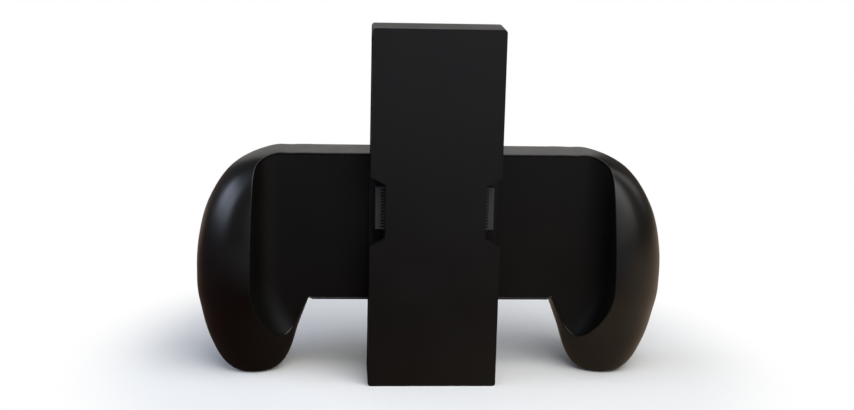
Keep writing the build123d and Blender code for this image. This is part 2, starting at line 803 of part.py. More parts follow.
# Cable socket on the main board, and the flat cable that comes to it from the button board
cable_end_x = cable_socket_x + cable_socket_width / 2 - fit_gap
cable_depth = board_rear + ribbon_socket_height / 2
with BuildPart() as cable_socket:
    with BuildSketch(facing(board_rear + ribbon_socket_height)):
        with Locations((cable_socket_x, cable_z)):
            Rectangle(cable_socket_width, cable_width + 2 * cable_socket_end)
    extrude(amount=ribbon_socket_height)
    with BuildSketch(Plane.YZ.offset(cable_socket_x)):
        with Locations((at(cable_depth), cable_z)):
            Rectangle(ribbon_thickness + 2 * ribbon_slot_gap, cable_width + 2 * ribbon_slot_gap)
    extrude(amount=cable_socket_width, mode=Mode.SUBTRACT)
save_pair(cable_socket.part, "cable_socket")

with BuildPart() as button_cable:
    with BuildSketch(Plane.XY.offset(cable_z - cable_width / 2)):
        with BuildLine() as cable_route:
            FilletPolyline(
                (cable_socket_x + fit_gap, at(cable_depth)),
                (board_width / 2 + cable_bend, at(cable_depth)),
                (button_x - button_board_width, at(button_board_front - ribbon_thickness / 2)),
                (button_x, at(button_board_front - ribbon_thickness / 2)),
                radius=cable_bend,
            )
        trace(line_width=ribbon_thickness)
    extrude(amount=cable_width)
save_pair(button_cable.part, "button_cable")

# Screws, each group of equal ones in a node of its own
save(screws_at(both_sides(shell_screw_places), screw_seat, screw_seat - panel_boss_end + screw_bite), "shell_screws")
save(screws_at(board_post_places, board_rear, board_thickness + board_screw_bite), "board_screws")
save(screws_at(column_screw_places, panel_back, panel_back - column_depth + housing_back_wall + screw_bite), "column_screws")
save(
    screws_at(both_sides(button_post_places), button_board_front, button_board_thickness + button_screw_bite, False),
    "button_board_screws",
)
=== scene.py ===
import bmesh
import bpy
import json
from math import atan2, comb, cos, degrees, hypot, pi, radians, sin, tan
from mathutils import Matrix, Vector


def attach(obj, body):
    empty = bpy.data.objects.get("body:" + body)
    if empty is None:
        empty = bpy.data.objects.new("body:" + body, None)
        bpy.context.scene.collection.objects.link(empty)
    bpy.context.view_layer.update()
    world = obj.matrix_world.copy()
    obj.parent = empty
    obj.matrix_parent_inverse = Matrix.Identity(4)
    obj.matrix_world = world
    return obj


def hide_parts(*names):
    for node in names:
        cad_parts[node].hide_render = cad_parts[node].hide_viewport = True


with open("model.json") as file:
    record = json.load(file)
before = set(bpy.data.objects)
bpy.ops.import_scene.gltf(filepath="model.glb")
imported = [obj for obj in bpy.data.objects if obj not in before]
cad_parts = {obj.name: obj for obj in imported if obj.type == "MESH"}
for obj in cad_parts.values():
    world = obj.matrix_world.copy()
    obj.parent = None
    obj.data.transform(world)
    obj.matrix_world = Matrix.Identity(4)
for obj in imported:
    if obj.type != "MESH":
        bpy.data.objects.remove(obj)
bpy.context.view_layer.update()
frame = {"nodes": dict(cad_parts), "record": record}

# Camera, worked out from the photograph's corners, its turn set between what they and the handles ask
CAMERA_TURN = 4.2
CAMERA_RISE = 13.83
CAMERA_ROLL = 1.415
CAMERA_DISTANCE = 0.483
CAMERA_AIM = Vector((-0.00241, -0.0138, 0.05879))
FOCAL_PIXELS = 1512.0
PICTURE_WIDTH = 854
SENSOR_WIDTH = 36.0

# Edges that turn by more than this, in radians, stay crisp
SHARP_ANGLE = 0.56

# The room and its light
FLOOR_SIZE = 6.0
FLOOR_COLOR = (0.9, 0.9, 0.9)
# Painted light and shade on the floor, seen only in reflections: painted shade to the left, painted warm
# light to the right and painted bluish light in front
PAINTED_SHADE_LEFT_COLOR = (0.08, 0.035, 0.028)
PAINTED_WARM_LIGHT_RIGHT_COLOR = (0.6, 0.46, 0.33)
PAINTED_SIDE_START, PAINTED_SIDE_END = -0.12, 0.14
PAINTED_BLUE_LIGHT_FRONT_COLOR = (0.65, 0.74, 0.88)
PAINTED_FRONT_START, PAINTED_FRONT_END = 0.2, 0.55
WHITE_START, WHITE_END = 0.085, 0.125
WORLD_STRENGTH = 0.08
HIGH_COLOR = (0.85, 0.92, 1.0)
LOW_COLOR = (1.0, 0.8, 0.62)
SKY_START, SKY_END = -0.1, 0.8
SPECKLE_SCALE, SPECKLE_SHADE = 400.0, 0.98

# Each lamp's name, place, aim, width, height, power and colour
LAMPS = (
    ("key_light", (0.3, -0.5, 0.65), (0, 0, 0.03), 0.9, 0.9, 6.3, (1, 0.99, 0.97)),
    ("top_light", (0, -0.25, 0.8), (0, 0, 0.05), 0.8, 0.8, 2.8, (0.93, 0.97, 1)),
    ("back_light", (0, 0.95, 0.35), (0, 0, 0.06), 0.7, 0.6, 0.65, (1, 0.99, 0.97)),
    ("left_light", (-0.69, -0.05, 0.36), (-0.06, 0, 0.06), 0.75, 0.22, 2.6, (0.72, 0.8, 1)),
    ("right_light", (0.67, 0.28, 0.48), (0.06, 0, 0.06), 0.35, 0.5, 0.5, (1, 0.96, 0.88)),
)

# Each plastic's colour, roughness, size and height of its grain, gloss, and softening of its edges
PLASTICS = {
    "column_plastic": ((0.0032, 0.003, 0.0028), 0.42, 0.00025, 0.00002, 0.4, 0),
    "panel_plastic": ((0.0016, 0.0015, 0.0014), 0.5, 0.00025, 0.00002, 0.3, 0),
    "shell_plastic": ((0.004, 0.0038, 0.0036), 0.32, 0.0004, 0.00001, 0.5, 0.00045),
    "button_plastic": ((0.013, 0.013, 0.014), 0.35, 0.0004, 0.00001, 0.5, 0),
    "liner_plastic": ((0.003, 0.003, 0.003), 0.6, 0.0003, 0.00001, 0.2, 0),
    "connector_plastic": ((0.01, 0.01, 0.01), 0.45, 0.0003, 0.00001, 0.5, 0),
    "tab_plastic": ((0.05, 0.05, 0.052), 0.45, 0.0003, 0.00001, 0.5, 0),
    "circuit_board": ((0.01, 0.09, 0.04), 0.35, 0.0008, 0.00003, 0.5, 0),
    "chip": ((0.012, 0.012, 0.013), 0.5, 0.0003, 0.00001, 0.5, 0),
    "ribbon": ((0.45, 0.18, 0.03), 0.3, 0.001, 0.00001, 0.5, 0),
}

# Each metal's colour, roughness and size of its streaks
METALS = {
    "contact_metal": ((0.9, 0.65, 0.28), 0.25, 0.002),
    "magnet_nickel": ((0.7, 0.68, 0.64), 0.18, 0.004),
    "yoke_steel": ((0.5, 0.5, 0.52), 0.35, 0.004),
    "socket_steel": ((0.6, 0.6, 0.62), 0.3, 0.002),
    "dome_steel": ((0.6, 0.6, 0.6), 0.25, 0.002),
    "screw_steel": ((0.12, 0.12, 0.13), 0.4, 0.002),
}

# How far colour and gloss stray in the materials
PLASTIC_SPREAD, METAL_SPREAD, METAL_SHADE = 0.12, 0.3, 0.85
CLOUD_SCALE, CLOUD_LOW, CLOUD_HIGH = 60.0, 0.3, 0.7
GRAIN_STRENGTH = 0.35
# Painted shade in the tab's slots, and the depth over which it deepens
SLOT_PAINTED_SHADE_COLOR, SLOT_DEPTH = (0.003, 0.003, 0.003), 0.0003

# A colour mix node's sockets: its two colours and its result
MIX_A, MIX_B, MIX_RESULT = 6, 7, 2

# Points of a mesh that lie closer than this, in metres, are joined
MERGE_DISTANCE = 0.000002

# Sizes of the shells and of the panel, in millimetres, as in the CAD source.
# Depths are measured back from the front face of the column.
HALF_DEPTH = 20.8
MID_HEIGHT = 58.0
BUTTON_PROUD = 0.6
HALF_SPAN = 76.8
HANDLE_BACK = 41.0
WING_BOTTOM, WING_TOP, WING_BACK = 24.8, 73.9, 30.8
INNER_CORNER_X, INNER_CORNER_ROUND = 40.2, 1.6
TIP_CENTER_X = 57.9
BED_FACE = 14.8
SHELL_WALL, PANEL_WALL = 2.2, 1.8
RIM_LAND, SEAM_GAP, FIT_GAP = 0.6, 0.1, 0.1
SHELL_SPLIT = 27.8
FLAT_SHARE = 0.9
BED_SIDE_X, BED_CORNER, BED_FLOOR_Z, BED_DRAFT = 58.7, 32.0, 1.5, 8.0
BED_CUP, BED_FRONT_REACH, BED_TOP_REACH = 8.5, 6.0, 56.0
PIVOT_X = INNER_CORNER_X - INNER_CORNER_ROUND
PIVOT_Z = WING_BOTTOM - INNER_CORNER_ROUND
FORM_STEPS = 9
QUARTER_STEPS = 28
ARC_STEPS = 72
CUP_STEPS = 20
ROUND_STEPS = 64
SHELL_SCREWS = ((30.0, 63.0), (30.0, 35.0), (47.5, 21.0))
COLUMN_SCREWS = ((6.5, 30.8), (6.5, 67.9))
BOARD_POSTS = ((20.0, 66.9), (20.0, 38.9))
BUTTON_POSTS = ((58.4, 25.8), (58.4, 50.2))
PILOT_RADIUS, BOSS_RADIUS, BOARD_POST_RADIUS, BUTTON_POST_RADIUS = 1.15, 2.6, 2.4, 2.2
HEAD_HOLE_RADIUS, PAD_RADIUS = 2.05, 3.65
SCREW_BITE, BOARD_SCREW_BITE, BUTTON_SCREW_BITE = 5.0, 3.5, 3.0
SCREW_SEAT = 29.4
PANEL_BOSS_END = 27.7
BOARD_FRONT = 21.0
TAB_FACE_Y = -0.01525
COLUMN_HALF, SEAT_DEPTH = 20.7, 0.3
RIBBON_X, RIBBON_WINDOW, RIBBON_WIDTH = 9.275, 1.6, 7.6
BUTTON_X, BUTTON_Z, BUTTON_LENGTH, BUTTON_WIDTH = 58.4, 38.0, 16.0, 9.0
BUTTON_GAP, COLLAR_WALL, COLLAR_END, BUTTON_BOARD_REAR = 0.25, 1.2, 33.2, 30.0
SOCKET_MID, SOCKET_WIDTH, SOCKET_HEIGHT, INLET_GAP = 23.8, 8.9, 3.2, 0.2


def place_camera():
    """The camera at the photograph's angle, with its roll and focal length."""
    turn, rise, roll = radians(CAMERA_TURN), radians(CAMERA_RISE), radians(CAMERA_ROLL)
    back = Vector((-sin(turn) * cos(rise), -cos(turn) * cos(rise), sin(rise)))
    level = (-back).cross(Vector((0, 0, 1))).normalized()
    upright = level.cross(-back)
    right = cos(roll) * level + sin(roll) * upright
    up = cos(roll) * upright - sin(roll) * level
    spot = CAMERA_AIM + CAMERA_DISTANCE * back
    data = bpy.data.cameras.new("camera")
    data.sensor_width = SENSOR_WIDTH
    data.lens = FOCAL_PIXELS / PICTURE_WIDTH * SENSOR_WIDTH
    data.clip_start = 0.01
    camera = bpy.data.objects.new("camera", data)
    camera.matrix_world = Matrix((
        (right.x, up.x, back.x, spot.x),
        (right.y, up.y, back.y, spot.y),
        (right.z, up.z, back.z, spot.z),
        (0, 0, 0, 1),
    ))
    bpy.context.scene.collection.objects.link(camera)
    bpy.context.scene.camera = camera


def new_material(name):
    """A node material with its shader and a shorthand for adding linked nodes."""
    material = bpy.data.materials.new(name)
    material.use_nodes = True
    nodes = material.node_tree.nodes
    return material, nodes, material.node_tree.links, nodes["Principled BSDF"]


def add_node(nodes, kind, **values):
    """A node of a kind, with its inputs and properties set by name."""
    node = nodes.new(kind)
    for key, value in values.items():
        if key in node.inputs:
            node.inputs[key].default_value = value
        else:
            setattr(node, key, value)
    return node


def moulded_plastic(name, color, roughness, grain_size, grain_height, specular, edge):
    """Moulded plastic: a fine grain, faint clouding in its gloss and colour, and soft edges if asked."""
    material, nodes, links, shader = new_material(name)
    place = add_node(nodes, "ShaderNodeTexCoord")
    grain = add_node(nodes, "ShaderNodeTexNoise", Scale=1 / grain_size, Detail=3.0, Roughness=0.6)
    links.new(place.outputs["Object"], grain.inputs["Vector"])
    bump = add_node(nodes, "ShaderNodeBump", Strength=GRAIN_STRENGTH, Distance=grain_height)
    links.new(grain.outputs["Fac"], bump.inputs["Height"])
    links.new(bump.outputs["Normal"], shader.inputs["Normal"])
    if edge:
        softened = add_node(nodes, "ShaderNodeBevel", Radius=edge, samples=8)
        links.new(softened.outputs["Normal"], bump.inputs["Normal"])
    cloud = add_node(nodes, "ShaderNodeTexNoise", Scale=CLOUD_SCALE, Detail=4.0, Roughness=0.55)
    links.new(place.outputs["Object"], cloud.inputs["Vector"])
    gloss = add_node(nodes, "ShaderNodeMapRange")
    gloss.inputs["From Min"].default_value = CLOUD_LOW
    gloss.inputs["From Max"].default_value = CLOUD_HIGH
    gloss.inputs["To Min"].default_value = roughness * (1 - PLASTIC_SPREAD)
    gloss.inputs["To Max"].default_value = roughness * (1 + PLASTIC_SPREAD)
    links.new(cloud.outputs["Fac"], gloss.inputs["Value"])
    links.new(gloss.outputs["Result"], shader.inputs["Roughness"])
    tint = add_node(nodes, "ShaderNodeMix", data_type="RGBA")
    tint.inputs[MIX_A].default_value = (*[channel * (1 - PLASTIC_SPREAD) for channel in color], 1)
    tint.inputs[MIX_B].default_value = (*[channel * (1 + PLASTIC_SPREAD) for channel in color], 1)
    links.new(grain.outputs["Fac"], tint.inputs["Factor"])
    links.new(tint.outputs[MIX_RESULT], shader.inputs["Base Color"])
    shader.inputs["Specular IOR Level"].default_value = specular
    return material


def connector_tab_plastic():
    """The tab's plastic, with painted shade in its slots: the floors of the slots are coloured darker than
    the face, by how deep a point lies.
    """
    material = moulded_plastic("tab_plastic", *PLASTICS["tab_plastic"])
    nodes, links = material.node_tree.nodes, material.node_tree.links
    shader = nodes["Principled BSDF"]
    face_tint = shader.inputs["Base Color"].links[0].from_socket
    place = add_node(nodes, "ShaderNodeTexCoord")
    depth = add_node(nodes, "ShaderNodeSeparateXYZ")
    links.new(place.outputs["Object"], depth.inputs["Vector"])
    share = add_node(nodes, "ShaderNodeMapRange")
    share.inputs["From Min"].default_value = TAB_FACE_Y
    share.inputs["From Max"].default_value = TAB_FACE_Y + SLOT_DEPTH
    links.new(depth.outputs["Y"], share.inputs["Value"])
    # Painted shade in the slots: deeper points are coloured towards the dark slot colour
    tint = add_node(nodes, "ShaderNodeMix", data_type="RGBA")
    tint.inputs[MIX_B].default_value = (*SLOT_PAINTED_SHADE_COLOR, 1)
    links.new(share.outputs["Result"], tint.inputs["Factor"])
    links.new(face_tint, tint.inputs[MIX_A])
    links.new(tint.outputs[MIX_RESULT], shader.inputs["Base Color"])
    return material


def plated_metal(name, color, roughness, streak_size):
    """Plated metal with faint streaks in its gloss."""
    material, nodes, links, shader = new_material(name)
    place = add_node(nodes, "ShaderNodeTexCoord")
    streaks = add_node(nodes, "ShaderNodeTexNoise", Scale=1 / streak_size, Detail=5.0, Roughness=0.7)
    links.new(place.outputs["Object"], streaks.inputs["Vector"])
    gloss = add_node(nodes, "ShaderNodeMapRange")
    gloss.inputs["To Min"].default_value = roughness * (1 - METAL_SPREAD)
    gloss.inputs["To Max"].default_value = roughness * (1 + METAL_SPREAD)
    links.new(streaks.outputs["Fac"], gloss.inputs["Value"])
    links.new(gloss.outputs["Result"], shader.inputs["Roughness"])
    tint = add_node(nodes, "ShaderNodeMix", data_type="RGBA")
    tint.inputs[MIX_A].default_value = (*[channel * METAL_SHADE for channel in color], 1)
    tint.inputs[MIX_B].default_value = (*color, 1)
    links.new(streaks.outputs["Fac"], tint.inputs["Factor"])
    links.new(tint.outputs[MIX_RESULT], shader.inputs["Base Color"])
    shader.inputs["Metallic"].default_value = 1.0
    return material


def dress(materials, slots):
    """Each CAD node gets its slot's material and smooth shading over its rounds."""
    rounding = smoothing()
    for name, node in frame["nodes"].items():
        material = materials[slots[name]]
        if not node.data.materials:
            node.data.materials.append(material)
        for index in range(len(node.material_slots)):
            node.material_slots[index].material = material
        node.modifiers.new("rounding", "NODES").node_group = rounding


def smoothing():
    """A node group that joins a mesh's faces and shades them smoothly, except across sharp edges."""
    group = bpy.data.node_groups.new("smoothing", "GeometryNodeTree")
    group.interface.new_socket("Geometry", in_out="INPUT", socket_type="NodeSocketGeometry")
    group.interface.new_socket("Geometry", in_out="OUTPUT", socket_type="NodeSocketGeometry")
    nodes, links = group.nodes, group.links
    entry, leave = nodes.new("NodeGroupInput"), nodes.new("NodeGroupOutput")
    merge = add_node(nodes, "GeometryNodeMergeByDistance", Distance=MERGE_DISTANCE)
    faces = add_node(nodes, "GeometryNodeSetShadeSmooth", domain="FACE")
    edges = add_node(nodes, "GeometryNodeSetShadeSmooth", domain="EDGE")
    edges.inputs["Shade Smooth"].default_value = False
    angle = add_node(nodes, "GeometryNodeInputMeshEdgeAngle")
    sharp = add_node(nodes, "FunctionNodeCompare", data_type="FLOAT", operation="GREATER_THAN")
    sharp.inputs["B"].default_value = SHARP_ANGLE
    links.new(entry.outputs["Geometry"], merge.inputs["Geometry"])
    links.new(merge.outputs["Geometry"], faces.inputs["Geometry"])
    links.new(faces.outputs["Geometry"], edges.inputs["Geometry"])
    links.new(angle.outputs["Unsigned Angle"], sharp.inputs["A"])
    links.new(sharp.outputs["Result"], edges.inputs["Selection"])
    links.new(edges.outputs["Geometry"], leave.inputs["Geometry"])
    return group


def floor_material():
    """A pale floor that keeps the part's shadow and turns white further off; in reflections it is dim, with
    painted shade to the left, painted warm light to the right and painted bluish light in front.
    """
    material, nodes, links, shader = new_material("floor")
    nodes.remove(shader)
    place = add_node(nodes, "ShaderNodeTexCoord")
    speckle = add_node(nodes, "ShaderNodeTexNoise", Scale=SPECKLE_SCALE, Detail=2.0)
    links.new(place.outputs["Object"], speckle.inputs["Vector"])
    tint = add_node(nodes, "ShaderNodeMix", data_type="RGBA")
    tint.inputs[MIX_A].default_value = (*FLOOR_COLOR, 1)
    tint.inputs[MIX_B].default_value = (*[channel * SPECKLE_SHADE for channel in FLOOR_COLOR], 1)
    links.new(speckle.outputs["Fac"], tint.inputs["Factor"])
    near = add_node(nodes, "ShaderNodeBsdfDiffuse")
    links.new(tint.outputs[MIX_RESULT], near.inputs["Color"])
    far = add_node(nodes, "ShaderNodeEmission", Color=(1, 1, 1, 1), Strength=1.0)
    reach = add_node(nodes, "ShaderNodeVectorMath", operation="LENGTH")
    links.new(place.outputs["Object"], reach.inputs[0])
    share = add_node(nodes, "ShaderNodeMapRange", interpolation_type="SMOOTHSTEP")
    share.inputs["From Min"].default_value = WHITE_START
    share.inputs["From Max"].default_value = WHITE_END
    links.new(reach.outputs["Value"], share.inputs["Value"])
    seen = add_node(nodes, "ShaderNodeMixShader")
    links.new(share.outputs["Result"], seen.inputs[0])
    links.new(near.outputs[0], seen.inputs[1])
    links.new(far.outputs[0], seen.inputs[2])
    # Painted reflection: the floor is painted dark to the left and warm and bright to the right, seen only
    # in reflections
    across = add_node(nodes, "ShaderNodeVectorMath", operation="DOT_PRODUCT")
    across.inputs[1].default_value = (1, 1, 0)
    links.new(place.outputs["Object"], across.inputs[0])
    side = add_node(nodes, "ShaderNodeMapRange", interpolation_type="SMOOTHSTEP")
    side.inputs["From Min"].default_value = PAINTED_SIDE_START
    side.inputs["From Max"].default_value = PAINTED_SIDE_END
    links.new(across.outputs["Value"], side.inputs["Value"])
    painted_side_light = add_node(nodes, "ShaderNodeMix", data_type="RGBA")
    painted_side_light.inputs[MIX_A].default_value = (*PAINTED_SHADE_LEFT_COLOR, 1)
    painted_side_light.inputs[MIX_B].default_value = (*PAINTED_WARM_LIGHT_RIGHT_COLOR, 1)
    links.new(side.outputs["Result"], painted_side_light.inputs["Factor"])
    # Painted reflection: pale bluish light painted on the floor in front, seen only in reflections
    forward = add_node(nodes, "ShaderNodeVectorMath", operation="DOT_PRODUCT")
    forward.inputs[1].default_value = (0, -1, 0)
    links.new(place.outputs["Object"], forward.inputs[0])
    front = add_node(nodes, "ShaderNodeMapRange", interpolation_type="SMOOTHSTEP")
    front.inputs["From Min"].default_value = PAINTED_FRONT_START
    front.inputs["From Max"].default_value = PAINTED_FRONT_END
    links.new(forward.outputs["Value"], front.inputs["Value"])
    painted_front_light = add_node(nodes, "ShaderNodeMix", data_type="RGBA")
    painted_front_light.inputs[MIX_B].default_value = (*PAINTED_BLUE_LIGHT_FRONT_COLOR, 1)
    links.new(front.outputs["Result"], painted_front_light.inputs["Factor"])
    links.new(painted_side_light.outputs[MIX_RESULT], painted_front_light.inputs[MIX_A])
    # The floor with its painted light and shade, as reflections see it; the camera sees the plain floor
    painted_reflection_floor = add_node(nodes, "ShaderNodeBsdfDiffuse")
    links.new(painted_front_light.outputs[MIX_RESULT], painted_reflection_floor.inputs["Color"])
    path = add_node(nodes, "ShaderNodeLightPath")
    mix = add_node(nodes, "ShaderNodeMixShader")
    links.new(path.outputs["Is Camera Ray"], mix.inputs[0])
    links.new(painted_reflection_floor.outputs[0], mix.inputs[1])
    links.new(seen.outputs[0], mix.inputs[2])
    links.new(mix.outputs[0], nodes["Material Output"].inputs["Surface"])
    return material


def build_room():
    """The floor, the world and the lamps."""
    mesh = bpy.data.meshes.new("floor")
    half = FLOOR_SIZE / 2
    corners = [(-half, -half, 0), (half, -half, 0), (half, half, 0), (-half, half, 0)]
    mesh.from_pydata(corners, [], [(0, 1, 2, 3)])
    floor = bpy.data.objects.new("floor", mesh)
    floor.data.materials.append(floor_material())
    bpy.context.scene.collection.objects.link(floor)
    world = bpy.data.worlds.new("world")
    world.use_nodes = True
    bpy.context.scene.world = world
    nodes, links = world.node_tree.nodes, world.node_tree.links
    lit = nodes["Background"]
    lit.inputs["Strength"].default_value = WORLD_STRENGTH
    place = add_node(nodes, "ShaderNodeTexCoord")
    direction = add_node(nodes, "ShaderNodeSeparateXYZ")
    links.new(place.outputs["Generated"], direction.inputs["Vector"])
    rise = add_node(nodes, "ShaderNodeMapRange", interpolation_type="SMOOTHSTEP")
    rise.inputs["From Min"].default_value = SKY_START
    rise.inputs["From Max"].default_value = SKY_END
    links.new(direction.outputs["Z"], rise.inputs["Value"])
    sky = add_node(nodes, "ShaderNodeMix", data_type="RGBA")
    sky.inputs[MIX_A].default_value = (*LOW_COLOR, 1)
    sky.inputs[MIX_B].default_value = (*HIGH_COLOR, 1)
    links.new(rise.outputs["Result"], sky.inputs["Factor"])
    links.new(sky.outputs[MIX_RESULT], lit.inputs["Color"])
    seen = add_node(nodes, "ShaderNodeBackground", Color=(1, 1, 1, 1), Strength=1.0)
    path = add_node(nodes, "ShaderNodeLightPath")
    mix = add_node(nodes, "ShaderNodeMixShader")
    links.new(path.outputs["Is Camera Ray"], mix.inputs[0])
    links.new(lit.outputs[0], mix.inputs[1])
    links.new(seen.outputs[0], mix.inputs[2])
    links.new(mix.outputs[0], nodes["World Output"].inputs["Surface"])
    for lamp in LAMPS:
        add_lamp(*lamp)


def add_lamp(name, spot, aim, width, height, power, color):
    """A soft rectangular lamp at a spot, turned to its aim."""
    data = bpy.data.lights.new(name, "AREA")
    data.shape = "RECTANGLE"
    data.size = width
    data.size_y = height
    data.energy = power
    data.color = color
    lamp = bpy.data.objects.new(name, data)
    lamp.location = spot
    lamp.rotation_euler = (Vector(aim) - Vector(spot)).to_track_quat("-Z", "Y").to_euler()
    bpy.context.scene.collection.objects.link(lamp)


def fan(outer_x, outer_z, front, back, widest, fullness, squareness=0.0):
    """A section of the shoulder, on the line from the inner corner to a point of the outline."""
    run, rise = outer_x - PIVOT_X, outer_z - PIVOT_Z
    reach = hypot(run, rise)
    crest = (INNER_CORNER_ROUND + reach) / 2
    turn = degrees(atan2(run, rise))
    return turn, PIVOT_Z, INNER_CORNER_ROUND, reach, crest, front, back, widest, fullness, squareness


def level(height, inner_x, outer_x, crest_x, front, back, widest, fullness):
    """A level section of the handle below the shoulder."""
    inner, reach, crest = inner_x - PIVOT_X, outer_x - PIVOT_X, crest_x - PIVOT_X
    return 90, height, inner, reach, crest, front, back, widest, fullness, 0


KEY_SECTIONS = [
    fan(PIVOT_X, WING_TOP, BED_FACE - 4.8, WING_BACK, 22.0, 3.0, 1.0),
    fan(HALF_SPAN - 31.1, WING_TOP, BED_FACE - 6.6, WING_BACK + 0.5, 23.2, 3.0, 0.9),
    fan(HALF_SPAN - 24.4, WING_TOP - 0.1, BED_FACE - 8.6, WING_BACK + 1.4, 24.0, 2.9, 0.6),
    fan(HALF_SPAN - 12.2, WING_TOP - 5.7, BED_FACE - 11.8, HANDLE_BACK - 6.0, 24.0, 2.8, 0.1),
    fan(HALF_SPAN - 4.4, WING_TOP - 16.6, BED_FACE - 13.8, HANDLE_BACK - 3.0, 22.5, 2.5),
    fan(HALF_SPAN - 0.9, WING_TOP - 29.1, BED_FACE - 14.4, HANDLE_BACK - 1.0, 22.0, 2.35),
    fan(HALF_SPAN - 0.1, WING_TOP - 40.4, BED_FACE - 14.0, HANDLE_BACK, 22.0, 2.25),
    fan(HALF_SPAN - 0.9, PIVOT_Z, BED_FACE - 12.2, HANDLE_BACK - 0.5, 22.0, 2.15),
    level(14.5, INNER_CORNER_X + 3.2, HALF_SPAN - 3.0, 61.2, 6.6, 38.0, 21.0, 2.05),
    level(8.0, INNER_CORNER_X + 5.2, HALF_SPAN - 5.7, 60.8, 9.0, 34.5, 19.5, 1.95),
    level(3.6, TIP_CENTER_X - 10.3, TIP_CENTER_X + 10.4, 59.8, 10.8, 30.0, 18.2, 1.95),
    level(1.0, TIP_CENTER_X - 7.5, TIP_CENTER_X + 7.4, 58.8, 12.2, 25.6, 17.6, 2.0),
    level(0.0, TIP_CENTER_X - 4.7, TIP_CENTER_X + 4.6, TIP_CENTER_X, 14.0, 22.0, 17.4, 2.0),
]


def form_sections():
    """The key sections with many smooth steps between them, on a Catmull-Rom curve."""
    sections = []
    last = len(KEY_SECTIONS) - 1
    for index in range(last):
        around = [KEY_SECTIONS[min(max(index + shift, 0), last)] for shift in (-1, 0, 1, 2)]
        for step in range(FORM_STEPS):
            t = step / FORM_STEPS
            sections.append(tuple(
                b + 0.5 * t * (c - a + t * (2 * a - 5 * b + 4 * c - d + t * (3 * b - a - 3 * c + d)))
                for a, b, c, d in zip(*around)
            ))
    sections.append(KEY_SECTIONS[last])
    return sections


def quarter(center_x, center_y, run, rise, fullness, squareness):
    """Points of a quarter of an oval, from its end on X up to just before its end on Y."""
    pull = (8 * 2 ** (-1 / fullness) - 4) / 3
    oval = [(1, 0), (1, 0.6 * pull), (0.7 + 0.3 * pull, 0.3 + 0.6 * pull)]
    oval += [(y, x) for x, y in reversed(oval)]
    flat_sided = [(1, 0), (1, FLAT_SHARE), (1, 1), (1, 1), (FLAT_SHARE, 1), (0, 1)]
    controls = [
        (x + squareness * (flat_x - x), y + squareness * (flat_y - y))
        for (x, y), (flat_x, flat_y) in zip(oval, flat_sided)
    ]
    points = []
    for step in range(QUARTER_STEPS + 1):
        t = step / QUARTER_STEPS
        weights = [comb(5, i) * t ** i * (1 - t) ** (5 - i) for i in range(6)]
        x = sum(weight * control[0] for weight, control in zip(weights, controls))
        y = sum(weight * control[1] for weight, control in zip(weights, controls))
        points.append((center_x + run * x, center_y + rise * y))
    return points


def section_ring(section, inset):
    """The points round one section, each as its distance outward and its depth."""
    inner, outer, crest, front, back, widest, fullness, squareness = section[2:]
    middle = (inner + outer) / 2
    half = (outer - inner) / 2 - inset
    rear, fore = back - widest - inset, widest - front - inset
    outward, inward = outer - crest - inset, crest - inner - inset
    quarters = (
        quarter(middle, widest, half, rear, fullness, squareness),
        quarter(middle, widest, -half, rear, fullness, squareness)[::-1],
        quarter(crest, widest, -inward, -fore, fullness, squareness),
        quarter(crest, widest, outward, -fore, fullness, squareness)[::-1],
    )
    return [point for points in quarters for point in points[:-1]]


def solid(name, points, faces):
    """A closed mesh object from points in millimetres as X, depth and Z."""
    mesh = bpy.data.meshes.new(name)
    places = [(x / 1000, (depth - HALF_DEPTH) / 1000, z / 1000) for x, depth, z in points]
    mesh.from_pydata(places, [], faces)
    shape = bmesh.new()
    shape.from_mesh(mesh)
    bmesh.ops.recalc_face_normals(shape, faces=shape.faces)
    shape.to_mesh(mesh)
    shape.free()
    return bpy.data.objects.new(name, mesh)


def tube(name, rings):
    """A closed solid through rings of equally many points, capped at both ends."""
    count = len(rings[0])
    faces = [list(range(count)), [len(rings) * count - 1 - i for i in range(count)]]
    for ring in range(len(rings) - 1):
        near, far = ring * count, (ring + 1) * count
        for i in range(count):
            j = (i + 1) % count
            faces.append((near + i, near + j, far + j, far + i))
    return solid(name, [point for ring in rings for point in ring], faces)


def form(inset=0.0):
    """The whole smooth outer form, drawn in by an inset: the wing and both handles."""
    right = []
    for section in form_sections():
        turn, height = radians(section[0]), section[1]
        if height < 2 * inset:
            continue
        right.append([
            (PIVOT_X + sin(turn) * out, depth, height + cos(turn) * out)
            for out, depth in section_ring(section, inset)
        ])
    left = [[(-x, depth, z) for x, depth, z in ring] for ring in right]
    return tube("form", left[::-1] + right)


